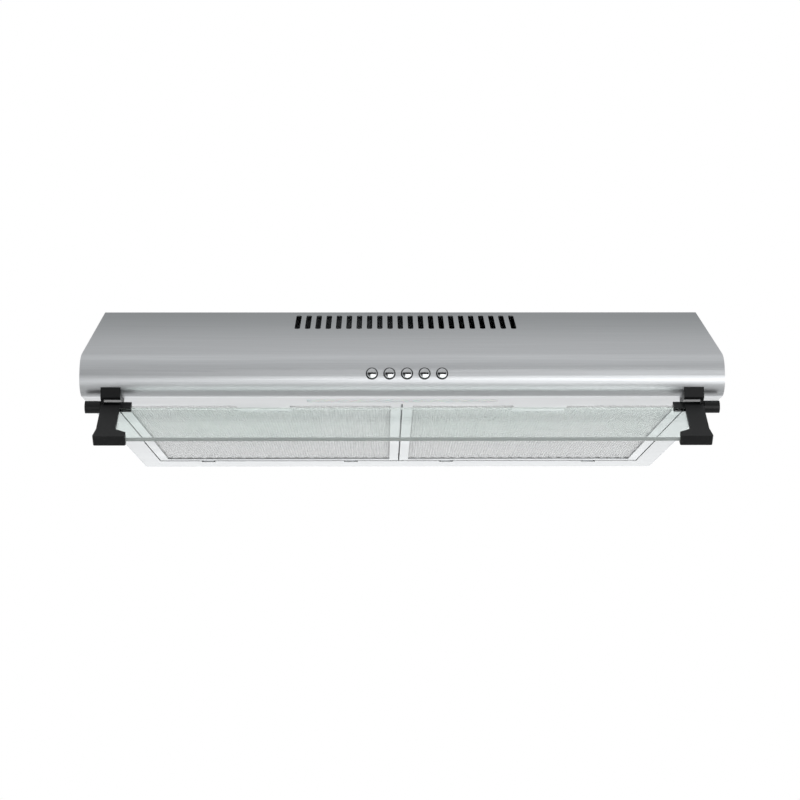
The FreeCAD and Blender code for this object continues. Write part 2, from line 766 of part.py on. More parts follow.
def visor_arm():
    """The right arm: head, knuckle, shoulder over the fixed eye, stem and flared foot."""
    head_end = web_inner_x - REST_GAP
    knuckle_start = web_inner_x + WEB_T + REST_GAP
    head = box(head_inner_x, head_end, -HEAD_HALF_T, HEAD_HALF_T, -HEAD_DROP, HEAD_TOP)
    knuckle = rod_x(KNUCKLE_R, head_end, knuckle_outer_x, 0, 0)
    clear_r = EYE_R + REST_GAP
    over_eye = box(head_end, knuckle_start, -KNUCKLE_R, KNUCKLE_R, -SHOULDER_TOP, KNUCKLE_R)
    knuckle = knuckle.cut([rod_x(clear_r, head_end, knuckle_start, 0, 0), over_eye])
    glass_face = -GLASS_T / 2
    stem_top = -clear_r
    foot_top = -ARM_LENGTH + FOOT_HEIGHT
    stem = box(stem_inner_x, stem_outer_x, glass_face - ARM_STEM_T, glass_face, foot_top, stem_top)
    arm = joined([head, knuckle, stem, arm_foot(foot_top)])
    bore = rod_x(PIN_R, knuckle_outer_x - PIN_LENGTH, knuckle_outer_x, 0, 0)
    return tilted(arm.cut([glass_body(SEAM / 2), bore]))


def arm_foot(top):
    """The clamp on the glass's lower edge, wider towards its end."""
    low = -ARM_LENGTH
    step = FOOT_CHAMFER
    outline = [
        (stem_inner_x - step, top),
        (head_inner_x, top - FOOT_SHOULDER),
        (head_inner_x, low + step),
        (head_inner_x + step, low),
        (stem_outer_x + FOOT_FLARE - step, low),
        (stem_outer_x + FOOT_FLARE, low + step),
        (stem_outer_x, top),
    ]
    y0 = -GLASS_T / 2 - ARM_STEM_T - FOOT_PROUD
    y1 = GLASS_T / 2 + FOOT_LIP
    return slab([point(x, y0, z) for x, z in outline], point(0, y1 - y0, 0))


def visor_pin():
    return tilted(rod_x(PIN_R, knuckle_outer_x - PIN_LENGTH, knuckle_outer_x, 0, 0))


def visor_lug():
    """The right fixed lug: a foot hugging the lip, and a thin web down to the hinge eye."""
    outer_x = web_inner_x + WEB_T
    lip_y = front + LIP_R
    y0 = front + LUG_FRONT
    y1 = lug_screw_y + SCREW_HEAD_R + LUG_SCREW_WALL
    low = under - LUG_DROP
    outline = [(y0, under + LUG_RISE), (y0, low + LUG_BEVEL), (y0 + LUG_BEVEL, low), (y1 - LUG_BEVEL, low),
               (y1, low + LUG_BEVEL), (y1, under), (lip_y, under), (lip_y, under + LUG_RISE)]
    foot = side_slab(outline, stem_inner_x, outer_x)
    foot = foot.cut(rod_x(LIP_R + SEAM, stem_inner_x - OVERRUN, outer_x + OVERRUN, lip_y, under + LIP_R))
    web = box(web_inner_x, outer_x, pivot_y - WEB_HALF, pivot_y + WEB_HALF, pivot_z, low)
    eye = rod_x(EYE_R, web_inner_x, outer_x, pivot_y, pivot_z)
    lug = joined([foot, web, eye])
    x, y = lug_screw_place()
    bore = rod_x(PIN_R + RUN_FIT, web_inner_x - OVERRUN, outer_x + OVERRUN, pivot_y, pivot_z)
    sink = post(SCREW_HEAD_R + SEAM, x, y, low - OVERRUN, low + SCREW_HEAD_T)
    return lug.cut([bore, sink, screw_hole(x, y, low, under)])


def lug_screw_place():
    return (stem_inner_x + stem_outer_x) / 2, lug_screw_y


def lug_screws():
    x, y = lug_screw_place()
    seat = under - LUG_DROP + SCREW_HEAD_T
    screw = screw_from_below(x, y, seat, rail_top - seat)
    return Part.makeCompound([screw, mirrored(screw)])


def ring_places(count, radius, turn):
    """Places spread evenly on a circle, the first one at the turn, in degrees."""
    angles = [math.radians(turn + 360 * i / count) for i in range(count)]
    return [(radius * math.cos(a), radius * math.sin(a)) for a in angles]


def collar_screw_places():
    radius = COLLAR_R + COLLAR_FLANGE / 2
    return [(x, collar_y + y) for x, y in ring_places(COLLAR_SCREWS, radius, COLLAR_SCREW_TURN)]


def duct_collar():
    """A flanged tube with a ledge and a bridge for its two flaps."""
    tube = post(COLLAR_R, 0, collar_y, 0, COLLAR_HEIGHT)
    flange = post(COLLAR_R + COLLAR_FLANGE, 0, collar_y, 0, COLLAR_FLANGE_T)
    body = tube.fuse(flange).cut(post(collar_bore_r, 0, collar_y, -OVERRUN, COLLAR_HEIGHT + OVERRUN))
    ledge_top = flap_z - LEDGE_DROP
    ledge_low = ledge_top - LEDGE_T
    ledge = post(collar_bore_r, 0, collar_y, ledge_low, ledge_top)
    ledge = ledge.cut(post(collar_bore_r - LEDGE_WIDTH, 0, collar_y, ledge_low, ledge_top))
    relief = FLAP_OFFSET + FLAP_PIVOT_R + LEDGE_RELIEF
    gap = box(-collar_bore_r, collar_bore_r, collar_y - relief, collar_y + relief, ledge_low, ledge_top)
    bridge = box(-collar_bore_r, collar_bore_r, collar_y - BRIDGE_HALF, collar_y + BRIDGE_HALF,
                 flap_z - BRIDGE_HALF_HEIGHT, flap_z + BRIDGE_HALF_HEIGHT)
    body = joined([body, ledge.cut(gap), bridge.common(post(COLLAR_R, 0, collar_y, 0, COLLAR_HEIGHT))])
    cuts = [screw_hole(x, y, 0, COLLAR_FLANGE_T) for x, y in collar_screw_places()]
    for side in (-1, 1):
        cuts.append(rod_x(FLAP_PIVOT_R + RUN_FIT, -COLLAR_R, COLLAR_R, collar_y + side * FLAP_OFFSET, flap_z))
    return body.cut(cuts)


def duct_flap(side):
    """A half disc on a wire spindle; side is -1 towards the front, 1 towards the wall."""
    disc = post(collar_bore_r - FLAP_EDGE_GAP, 0, collar_y, flap_z - FLAP_T / 2, flap_z + FLAP_T / 2)
    edge = collar_y + side * FLAP_OFFSET
    far = collar_y + side * COLLAR_R
    half = box(-COLLAR_R, COLLAR_R, min(edge, far), max(edge, far), 0, COLLAR_HEIGHT)
    reach = COLLAR_R - REST_GAP
    return disc.common(half).fuse(rod_x(FLAP_PIVOT_R, -reach, reach, edge, flap_z)).removeSplitter()


def collar_screws():
    screws = []
    for x, y in collar_screw_places():
        head = post(SCREW_HEAD_R, x, y, COLLAR_FLANGE_T, COLLAR_FLANGE_T + SCREW_HEAD_T)
        screws.append(head.fuse(post(SCREW_R, x, y, -SHEET, COLLAR_FLANGE_T)))
    return Part.makeCompound(screws)


def scroll_face(offset, z):
    """Four quarter arcs of growing radius about the fan's axis, closed by a straight line."""
    grow = SCROLL_GROWTH
    radii = [scroll_r + i * grow + offset for i in range(4)]
    centre = point(fan_x, fan_y, z)
    ways = [point(1, 0, 0), point(0, 1, 0), point(-1, 0, 0), point(0, -1, 0), point(1, 0, 0)]
    edges = []
    start = centre + ways[0] * radii[0]
    first = start
    for i, radius in enumerate(radii):
        end = centre + ways[i + 1] * radius
        edges.append(arc(centre, radius, start, end))
        centre = centre - ways[i + 1] * grow
        start = end
    edges.append(line(start, first))
    return Part.Face(Part.Wire(edges))


def scroll_solid(offset, z0, z1):
    """The fan's air space grown by the offset: scroll, outlet channel and round end."""
    half = OUTLET_WIDTH / 2 + offset
    scroll = scroll_face(offset, z0).extrude(point(0, 0, z1 - z0))
    channel = box(-half, half, fan_y, collar_y, z0, z1)
    solid = joined([scroll, channel, post(outlet_end_r + offset, 0, collar_y, z0, z1)])
    tongue = []
    for edge in solid.Edges:
        b = edge.BoundBox
        upright = b.ZLength > (z1 - z0) / 2 and b.XLength < SEAM and b.YLength < SEAM
        if upright and abs(b.XMin + half) < SEAM and fan_y < b.YMin < fan_y + scroll_r + offset:
            tongue.append(edge)
    return solid.makeFillet(TONGUE_R - offset, tongue)


def ear_places():
    """Each mounting ear's middle, and whether it points along X."""
    reach = HOUSING_WALL + EAR_LENGTH / 2
    left = fan_x - scroll_r - SCROLL_GROWTH - reach
    return [
        (left, fan_y - SCROLL_GROWTH),
        (OUTLET_WIDTH / 2 + reach, fan_y + EAR_WIDTH),
        (-outlet_end_r - reach, collar_y),
        (outlet_end_r + reach, collar_y),
    ]


def scroll_housing():
    """The upper moulding: ceiling, scroll wall and four mounting ears."""
    inner_top = housing_top - HOUSING_WALL
    wall_low = housing_low + HOUSING_WALL
    pieces = [scroll_solid(HOUSING_WALL, wall_low, housing_top)]
    cuts = [scroll_solid(0, wall_low, inner_top)]
    for x, y in ear_places():
        half_x = EAR_LENGTH / 2 + HOUSING_WALL
        half_y = EAR_WIDTH / 2
        pieces.append(box(x - half_x, x + half_x, y - half_y, y + half_y, housing_top - EAR_T, housing_top))
        cuts.append(screw_hole(x, y, housing_top - EAR_T, housing_top))
    cuts.append(post(collar_bore_r, 0, collar_y, inner_top - OVERRUN, housing_top + OVERRUN))
    return joined(pieces).cut(cuts)


def bracket_screw_places():
    return [(fan_x + x, fan_y + y) for x, y in ring_places(BRACKET_ARMS, bracket_screw_r, BRACKET_TURN)]


def scroll_floor():
    """The lower moulding: a plate with the inlet and its short lip."""
    top = housing_low + HOUSING_WALL
    plate = scroll_solid(HOUSING_WALL, housing_low, top)
    lip = post(inlet_r + HOUSING_WALL / 2, fan_x, fan_y, housing_low, housing_low + INLET_LIP_HEIGHT)
    cuts = [post(inlet_r, fan_x, fan_y, housing_low - OVERRUN, housing_low + 2 * INLET_LIP_HEIGHT)]
    cuts += [screw_hole(x, y, housing_low, top) for x, y in bracket_screw_places()]
    return joined([plate, lip]).cut(cuts)


def housing_screws():
    screws = [screw_from_below(x, y, housing_top - EAR_T, EAR_T) for x, y in ear_places()]
    return Part.makeCompound(screws)


def blade():
    """One forward-curved blade, standing at the fan's axis."""
    z0 = impeller_low + END_RING_T / 2
    outer_r = IMPELLER_R - BLADE_EDGE
    sweep = math.radians(BLADE_SWEEP)
    start = point(blade_inner_r, 0, z0)
    end = point(outer_r * math.cos(sweep), outer_r * math.sin(sweep), z0)
    along = end - start
    square = point(-along.y, along.x, 0)
    square.normalize()
    middle = (start + end) * 0.5 - square * BLADE_BOW
    thick = square * BLADE_T
    outline = Part.Wire([
        Part.Arc(start, middle, end).toShape(),
        line(end, end + thick),
        Part.Arc(end + thick, middle + thick, start + thick).toShape(),
        line(start + thick, start),
    ])
    return Part.Face(outline).extrude(point(0, 0, impeller_top - BACK_PLATE_T / 2 - z0))


def impeller():
    """Curved blades between a back plate and an end ring."""
    plate_low = impeller_top - BACK_PLATE_T
    plate = post(IMPELLER_R, 0, 0, plate_low, impeller_top)
    plate = plate.cut(post(SHAFT_R + SEAM, 0, 0, plate_low, impeller_top))
    ring = post(IMPELLER_R, 0, 0, impeller_low, impeller_low + END_RING_T)
    ring = ring.cut(post(IMPELLER_R - END_RING_WIDTH, 0, 0, impeller_low, impeller_low + END_RING_T))
    one = blade()
    turns = [one.rotated(point(0, 0, 0), point(0, 0, 1), 360 * i / BLADE_COUNT) for i in range(BLADE_COUNT)]
    return joined([plate, ring] + turns).translated(point(fan_x, fan_y, 0))


def impeller_hub():
    top = impeller_top - BACK_PLATE_T
    hub = post(HUB_R, fan_x, fan_y, top - HUB_HEIGHT + BACK_PLATE_T, top)
    return hub.cut(post(SHAFT_R, fan_x, fan_y, top - HUB_HEIGHT, top))


def motor_shaft():
    low = housing_low - MOTOR_CAP_HEIGHT + MOTOR_FLOOR + REST_GAP
    return post(SHAFT_R, fan_x, fan_y, low, impeller_top + SHAFT_TOP_PROUD)


def motor_body():
    """Two end bells round a wider lamination stack, with a cap below."""
    bell = post(MOTOR_BELL_R, fan_x, fan_y, housing_low, motor_top)
    rims = [e for e in bell.Edges if e.BoundBox.ZLength < SEAM]
    bell = bell.makeChamfer(MOTOR_EDGE, rims)
    stack = post(MOTOR_R, fan_x, fan_y, housing_low + MOTOR_STACK_INSET, motor_top - MOTOR_STACK_INSET)
    cap_low = housing_low - MOTOR_CAP_HEIGHT
    cap = post(MOTOR_CAP_R, fan_x, fan_y, cap_low, housing_low)
    cuts = [post(SHAFT_BORE_R, fan_x, fan_y, cap_low + MOTOR_FLOOR, motor_top)]
    for low, top in bearing_spans():
        cuts.append(post(BEARING_R, fan_x, fan_y, low, top))
    return joined([bell, stack, cap]).cut(cuts)


def bearing_spans():
    low = housing_low - MOTOR_CAP_HEIGHT + MOTOR_FLOOR
    return [(low, low + BEARING_HEIGHT), (motor_top - BEARING_HEIGHT, motor_top)]


def motor_bearings():
    bushes = []
    for low, top in bearing_spans():
        bush = post(BEARING_R, fan_x, fan_y, low, top)
        bushes.append(bush.cut(post(SHAFT_R + RUN_FIT, fan_x, fan_y, low, top)))
    return Part.makeCompound(bushes)


def motor_bracket():
    """A ring with three arms across the inlet."""
    low = housing_low - BRACKET_T
    half = BRACKET_ARM_WIDTH / 2
    pieces = [post(BRACKET_RING_R, 0, 0, low, housing_low)]
    arm = box(0, bracket_reach, -half, half, low, housing_low)
    for i in range(BRACKET_ARMS):
        turn = BRACKET_TURN + 360 * i / BRACKET_ARMS
        pieces.append(arm.rotated(point(0, 0, 0), point(0, 0, 1), turn))
    body = joined(pieces).translated(point(fan_x, fan_y, 0))
    cuts = [post(BRACKET_HOLE_R, fan_x, fan_y, low - OVERRUN, housing_low + OVERRUN)]
    cuts += [screw_hole(x, y, low, housing_low) for x, y in bracket_screw_places()]
    return body.cut(cuts)


def bracket_screws():
    grip = BRACKET_T + HOUSING_WALL
    screws = [screw_from_below(x, y, housing_low - BRACKET_T, grip) for x, y in bracket_screw_places()]
    return Part.makeCompound(screws)


def terminal_outline(margin):
    half = BOX_WIDTH / 2 + margin
    return box_x - half, box_x + half, box_front - margin, box_rear + margin


def terminal_box():
    x0, x1, y0, y1 = terminal_outline(0)
    shell = box(x0, x1, y0, y1, -SHEET - BOX_HEIGHT + BOX_WALL, -SHEET)
    x0, x1, y0, y1 = terminal_outline(-BOX_WALL)
    return shell.cut(box(x0, x1, y0, y1, -SHEET - BOX_HEIGHT, -SHEET - BOX_WALL))


def terminal_lid():
    x0, x1, y0, y1 = terminal_outline(0)
    low = -SHEET - BOX_HEIGHT
    plate = box(x0, x1, y0, y1, low, low + BOX_WALL)
    x0, x1, y0, y1 = terminal_outline(-BOX_WALL - SEAM)
    rim = box(x0, x1, y0, y1, low + BOX_WALL, low + 2 * BOX_WALL)
    x0, x1, y0, y1 = terminal_outline(-2 * BOX_WALL - SEAM)
    return joined([plate, rim.cut(box(x0, x1, y0, y1, low + BOX_WALL, low + 2 * BOX_WALL))])


def terminal_block():
    """A row of wire clamps on the box's ceiling."""
    top = -SHEET - BOX_WALL
    low = top - TERMINAL_HEIGHT
    middle = (box_front + box_rear) / 2
    y0 = middle - TERMINAL_DEPTH / 2
    y1 = middle + TERMINAL_DEPTH / 2
    body = box(box_x - TERMINAL_WIDTH / 2, box_x + TERMINAL_WIDTH / 2, y0, y1, low, top)
    pitch = TERMINAL_WIDTH / TERMINAL_POLES
    cuts = []
    for i in range(TERMINAL_POLES):
        x = box_x + (i - (TERMINAL_POLES - 1) / 2) * pitch
        cuts.append(rod_y(pitch / 4, x, y0 - OVERRUN, y1 + OVERRUN, (low + top) / 2))
    return body.cut(cuts)


def capacitor():
    z = -SHEET - CLIP_T - CAPACITOR_R
    x0 = box_x - CAPACITOR_LENGTH / 2
    return rod_x(CAPACITOR_R, x0, x0 + CAPACITOR_LENGTH, capacitor_y, z)


def capacitor_clip():
    """A strap round the capacitor with two feet on the canopy's underside."""
    z = -SHEET - CLIP_T - CAPACITOR_R
    x0 = box_x - CLIP_WIDTH / 2
    x1 = box_x + CLIP_WIDTH / 2
    outer_r = CAPACITOR_R + CLIP_T
    strap = rod_x(outer_r, x0, x1, capacitor_y, z)
    sides = box(x0, x1, capacitor_y - outer_r, capacitor_y + outer_r, z, -SHEET)
    reach = outer_r + CLIP_FOOT
    feet = box(x0, x1, capacitor_y - reach, capacitor_y + reach, -SHEET - CLIP_T, -SHEET)
    hollow = box(x0 - OVERRUN, x1 + OVERRUN, capacitor_y - CAPACITOR_R, capacitor_y + CAPACITOR_R,
                 z, -SHEET - CLIP_T)
    bore = rod_x(CAPACITOR_R, x0 - OVERRUN, x1 + OVERRUN, capacitor_y, z)
    return joined([strap, sides, feet]).cut([hollow, bore])


def cable_gland():
    """A bored nut and flange inside the back panel, with its neck through the hole."""
    inner = rear - SHEET
    z = -SHEET - GLAND_DROP
    neck = rod_y(GLAND_R - SEAM, box_x, inner, rear, z)
    flange = rod_y(GLAND_FLANGE_R, box_x, inner - GLAND_FLANGE_T, inner, z)
    nut = rod_y(GLAND_NUT_R, box_x, inner - GLAND_LENGTH, inner - GLAND_FLANGE_T, z)
    bore = rod_y(GLAND_BORE_R, box_x, inner - GLAND_LENGTH - OVERRUN, rear + OVERRUN, z)
    return joined([neck, flange, nut]).cut(bore)


def build():
    os.makedirs("parts", exist_ok=True)
    export("canopy", canopy())
    export("back_panel", back_panel())
    export("underframe", underframe())
    export("centre_bar", centre_bar())
    export("filter_hooks", filter_hooks())
    pairs = [("cheek", cheek), ("filter_frame", filter_frame), ("filter_net", filter_net),
             ("filter_latch", filter_latch), ("visor_arm", visor_arm), ("visor_pin", visor_pin),
             ("visor_lug", visor_lug)]
    for name, maker in pairs:
        shape = maker()
        export(name + "_right", shape)
        export(name + "_left", mirrored(shape))
    export("visor_glass", visor_glass())
    export("lug_screws", lug_screws())
    export("lamp_lens", lamp_lens())
    export("lamp_tray", lamp_tray())
    export("led_board", led_board())
    for i, x in enumerate(button_places()):
        export("push_button_" + str(i + 1), push_button(x))
    export("switch_body", switch_body())
    export("switch_brackets", switch_brackets())
    export("duct_collar", duct_collar())
    export("collar_screws", collar_screws())
    export("duct_flap_front", duct_flap(-1))
    export("duct_flap_rear", duct_flap(1))
    export("scroll_housing", scroll_housing())
    export("scroll_floor", scroll_floor())
    export("housing_screws", housing_screws())
    export("impeller", impeller())
    export("impeller_hub", impeller_hub())
    export("motor_shaft", motor_shaft())
    export("motor_body", motor_body())
    export("motor_bearings", motor_bearings())
    export("motor_bracket", motor_bracket())
    export("bracket_screws", bracket_screws())
    export("terminal_box", terminal_box())
    export("terminal_lid", terminal_lid())
    export("terminal_block", terminal_block())
    export("capacitor", capacitor())
    export("capacitor_clip", capacitor_clip())
    export("cable_gland", cable_gland())


build()
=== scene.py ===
# %% [markdown]
# # A slim range hood in brushed stainless steel
# The drawing of the hood, with every sheet, screw and moving part in its place, is loaded first and stays
# fixed. This lesson dresses it: it gives each part the finish of the real material, swaps the parts whose
# fine shape matters to the eye, and sets the camera and the lights.

# %% Load the drawing
import bpy
import math
from mathutils import Matrix, Vector


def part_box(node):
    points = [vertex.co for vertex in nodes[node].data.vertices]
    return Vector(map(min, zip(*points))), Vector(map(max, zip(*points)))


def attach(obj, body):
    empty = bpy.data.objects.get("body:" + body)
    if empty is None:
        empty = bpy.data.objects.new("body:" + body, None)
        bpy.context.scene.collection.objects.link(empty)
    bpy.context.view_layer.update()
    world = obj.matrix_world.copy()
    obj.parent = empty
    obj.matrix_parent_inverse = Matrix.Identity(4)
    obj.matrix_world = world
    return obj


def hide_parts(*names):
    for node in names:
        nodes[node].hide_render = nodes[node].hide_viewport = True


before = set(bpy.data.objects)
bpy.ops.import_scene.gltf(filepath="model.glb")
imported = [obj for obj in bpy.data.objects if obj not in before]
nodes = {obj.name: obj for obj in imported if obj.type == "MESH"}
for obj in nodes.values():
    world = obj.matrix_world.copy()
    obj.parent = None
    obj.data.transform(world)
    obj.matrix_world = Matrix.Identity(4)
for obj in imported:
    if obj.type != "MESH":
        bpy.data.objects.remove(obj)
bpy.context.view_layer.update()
MM = 0.001


# %% [markdown]
# ## The camera
# The picture was taken from in front and below, about 1.7 metres from the nose, so the underside shows. A
# camera can be placed by eye, but here it was fitted to the hood's own edges: with a width of 600 mm, the
# ends of the slots, the edges of the nose and the corners of the filters and of the underside fix its place
# and its lens.

# %% Place the camera
PICTURE = 800
FOCAL_PX = 1856.99
SENSOR_MM = 36.0
CAMERA_PLACE = Vector((-19.20, -2030.97, -409.11)) * MM
PITCH, YAW, ROLL = 0.17104, -0.00981, -0.00241
camera_data = bpy.data.cameras.new("picture_camera")
camera_data.sensor_width = SENSOR_MM
camera_data.lens = FOCAL_PX / PICTURE * SENSOR_MM
camera = bpy.data.objects.new("picture_camera", camera_data)
bpy.context.collection.objects.link(camera)
upright = Matrix.Rotation(math.pi / 2 + PITCH, 4, "X")
turn = Matrix.Rotation(YAW, 4, "Z") @ upright @ Matrix.Rotation(ROLL, 4, "Z")
camera.matrix_world = Matrix.Translation(CAMERA_PLACE) @ turn
bpy.context.scene.camera = camera
bpy.context.scene.view_settings.view_transform = "Standard"
print("lens", round(camera_data.lens, 2), "mm, pitch", round(math.degrees(PITCH), 2), "degrees")

# %% [markdown]
# ## Helpers for the finishes
# Colours are written as sRGB hex and turned to linear once. Every pattern reads Object coordinates, and its
# scale is one divided by a real size, so a streak that is 0.9 mm wide on the sheet is 0.9 mm wide here.

# %% Colour and node helpers
def linear(hex_colour):
    """Turn an sRGB hex colour into the linear numbers that a shader needs."""
    parts = [int(hex_colour[i:i + 2], 16) / 255 for i in (1, 3, 5)]
    return [p / 12.92 if p <= 0.04045 else ((p + 0.055) / 1.055) ** 2.4 for p in parts] + [1.0]


def add(tree, kind, settings=None, **links):
    """Add a node, set what is named in settings, and link the outputs given by input name."""
    made = tree.nodes.new(kind)
    for name, value in (settings or {}).items():
        if name in made.inputs:
            made.inputs[name].default_value = value
        else:
            setattr(made, name, value)
    for name, output in links.items():
        tree.links.new(output, made.inputs[name.replace("_", " ")])
    return made


def calculate(tree, operation, first, second):
    """Combine a node's output with a number or with another output."""
    step = add(tree, "ShaderNodeMath", {"operation": operation})
    tree.links.new(first, step.inputs[0])
    if isinstance(second, float):
        step.inputs[1].default_value = second
    else:
        tree.links.new(second, step.inputs[1])
    return step.outputs[0]


def remap(tree, value, reads, gives, kind="LINEAR"):
    """Turn the range reads into the range gives, evenly or, with SMOOTHSTEP, with soft ends."""
    step = add(tree, "ShaderNodeMapRange", {"interpolation_type": kind, "From Min": reads[0],
               "From Max": reads[1], "To Min": gives[0], "To Max": gives[1]}, Value=value)
    return step.outputs["Result"]


def mix_colours(tree, amount, first, second, blend="MIX"):
    """Mix two colours, each a hex colour or a node's output."""
    mix = add(tree, "ShaderNodeMix", {"data_type": "RGBA", "blend_type": blend})
    tree.links.new(amount, mix.inputs[0])
    for socket, colour in ((mix.inputs[6], first), (mix.inputs[7], second)):
        if isinstance(colour, str):
            socket.default_value = linear(colour)
        else:
            tree.links.new(colour, socket)
    return mix.outputs[2]


def switch(tree, amount, first, second):
    """Go from the first shader to the second as the amount goes from 0 to 1."""
    mix = add(tree, "ShaderNodeMixShader")
    for socket, output in zip(mix.inputs, (amount, first, second)):
        tree.links.new(output, socket)
    return mix.outputs[0]


def seen_directly(tree):
    """One for what the camera sees, also through the glass; zero for reflections and for lighting."""
    ray = add(tree, "ShaderNodeLightPath")
    return calculate(tree, "MAXIMUM", ray.outputs["Is Camera Ray"], ray.outputs["Is Transmission Ray"])


# %% Helpers for one finish
def start(name, colour, **sockets):
    """Start a finish: one shader with an even colour and the settings of the real material."""
    material = bpy.data.materials.new(name)
    material.use_nodes = True
    tree = material.node_tree
    shader = tree.nodes["Principled BSDF"]
    shader.inputs["Base Color"].default_value = linear(colour)
    for socket, value in sockets.items():
        shader.inputs[socket.replace("_", " ")].default_value = value
    return material, tree, shader


def grain(tree, size_mm, detail=3.0, rough=0.55):
    """Noise whose features measure size_mm along x, y and z."""
    place = add(tree, "ShaderNodeTexCoord")
    scale = add(tree, "ShaderNodeMapping", {"Scale": [1 / (s * MM) for s in size_mm]},
                Vector=place.outputs["Object"])
    noise = add(tree, "ShaderNodeTexNoise", {"Scale": 1.0, "Detail": detail, "Roughness": rough},
                Vector=scale.outputs["Vector"])
    return noise.outputs["Fac"]


NOISE_MIDDLE = (0.3, 0.7)


def spread(tree, value, low, high):
    """Map a pattern from the middle range, where noise mostly lies, onto low..high."""
    return remap(tree, value, NOISE_MIDDLE, (low, high))


def tint(tree, shader, value, dark, light):
    """Vary the colour between two hex colours as the pattern goes from dark to light."""
    mixed = mix_colours(tree, spread(tree, value, 0, 1), dark, light)
    tree.links.new(mixed, shader.inputs["Base Color"])


def relief(tree, shader, value, depth_mm, strength=1.0):
    """Raise and sink the surface by the pattern, to a real depth."""
    bump = add(tree, "ShaderNodeBump", {"Strength": strength, "Distance": depth_mm * MM}, Height=value)
    tree.links.new(bump.outputs["Normal"], shader.inputs["Normal"])


def dress(material, *names):
    """Give the finish to these parts of the drawing."""
    for name in names:
        for place in nodes[name].material_slots:
            place.material = material
    print(material.name, "on", ", ".join(names))


# %% [markdown]
# ## Brushed stainless steel
# The canopy is stainless sheet, 1 mm thick, brushed with a belt along its width before it is bent. Belt
# lines are too fine to see one by one, but they join into soft streaks many centimetres long. They blur
# reflections across the grain more than along it. A plain grey metal would look like a mirror or like paint;
# streaked roughness with a trace of relief gives the silky look.

# %% Brushed steel, with the grain along the width or along the depth
STREAK_LONG_MM = 140.0
STREAK_WIDE_MM = 0.9
ALONG_WIDTH, ALONG_DEPTH = 0, 1


def brushed_steel(name, dark, light, along, roughness, painted_shade=None):
    """Stainless sheet brushed along one axis, with long thin streaks, and, where asked, painted shade that
    darkens the slope towards its upper bend.
    """
    material, tree, shader = start(name, light, Metallic=1.0, Roughness=roughness)
    size = [STREAK_WIDE_MM] * 3
    size[along] = STREAK_LONG_MM
    streaks = grain(tree, size, 4.0)
    tint(tree, shader, streaks, dark, light)
    if painted_shade:
        paint_slope_shade(tree, shader, *painted_shade)
    rough = spread(tree, grain(tree, [s * 0.8 for s in size]), roughness - 0.03, roughness + 0.03)
    tree.links.new(rough, shader.inputs["Roughness"])
    relief(tree, shader, streaks, 0.0015)
    return material


def paint_slope_shade(tree, shader, low_z, high_z, dulling_and_painted_shade):
    """Paint shade into the colour: darker on the slope towards its upper bend, from low_z to high_z, sparing
    most of the flat top.
    """
    colour = shader.inputs["Base Color"].links[0].from_socket
    facing = add(tree, "ShaderNodeNewGeometry")
    axes = add(tree, "ShaderNodeSeparateXYZ", Vector=facing.outputs["Normal"])
    sloped = remap(tree, axes.outputs["Z"], (0.93, 0.99), (1.0, 0.25))
    place = add(tree, "ShaderNodeTexCoord")
    parts = add(tree, "ShaderNodeSeparateXYZ", Vector=place.outputs["Object"])
    height = remap(tree, parts.outputs["Z"], (low_z * MM, high_z * MM), (0.0, 1.0), "SMOOTHSTEP")
    amount = calculate(tree, "MULTIPLY", height, sloped)
    # Painted shade: the steel's colour is multiplied by the shade colour, most near the top of the slope.
    shaded_colour = mix_colours(tree, amount, colour, dulling_and_painted_shade, "MULTIPLY")
    tree.links.new(shaded_colour, shader.inputs["Base Color"])


# From 70 mm below the flat top to 4 mm above it, and the colour multiplied in there as painted shade.
SLOPE_PAINTED_SHADE = (-70, 4, "#CBCDCD")
dress(brushed_steel("brushed_stainless_across", "#D0D2D4", "#DDDFE1", ALONG_WIDTH, 0.42, SLOPE_PAINTED_SHADE),
      "canopy")
dress(brushed_steel("brushed_stainless_deep", "#C4C6C8", "#D2D4D6", ALONG_DEPTH, 0.42), "cheek_left",
      "cheek_right")
dress(brushed_steel("satin_rail_steel", "#C1C3C4", "#CDCECF", ALONG_WIDTH, 0.42), "underframe")

# %% [markdown]
# ## Galvanised sheet
# The back panel and the inner brackets are hot-dip galvanised steel. The zinc freezes into flat crystals, the
# spangle, about 8 mm across, each a slightly different grey. Voronoi cells are the same figure.

# %% Galvanised steel
SPANGLE = 8 * MM


def galvanised(name):
    """Zinc-coated sheet with its spangle."""
    material, tree, shader = start(name, "#AEB3B6", Metallic=1.0, Roughness=0.42)
    place = add(tree, "ShaderNodeTexCoord")
    cells = add(tree, "ShaderNodeTexVoronoi", {"Scale": 1 / SPANGLE, "Randomness": 1.0},
                Vector=place.outputs["Object"])
    chance = add(tree, "ShaderNodeSeparateColor", Color=cells.outputs["Color"])
    tint(tree, shader, chance.outputs["Red"], "#A8ADB0", "#B3B8BB")
    tree.links.new(spread(tree, chance.outputs["Green"], 0.42, 0.47), shader.inputs["Roughness"])
    relief(tree, shader, grain(tree, (2, 2, 2)), 0.01)
    return material


dress(galvanised("galvanised_steel"), "back_panel", "centre_bar", "filter_hooks", "switch_brackets",
      "capacitor_clip", "motor_bracket")

# %% [markdown]
# ## Aluminium
# The filters' frames are rolled strip with fine lines along the roll. The capacitor's can is drawn, and the
# fan's hub is turned. Each is bare metal with the fine lines of its own tool.

# %% Rolled, drawn and turned aluminium
def aluminium(name, dark, light, size_mm, roughness):
    """Bare aluminium with the tool's fine lines."""
    material, tree, shader = start(name, light, Metallic=1.0, Roughness=roughness)
    lines = grain(tree, size_mm)
    tint(tree, shader, lines, dark, light)
    tree.links.new(spread(tree, lines, roughness - 0.05, roughness + 0.05), shader.inputs["Roughness"])
    relief(tree, shader, lines, 0.006)
    return material


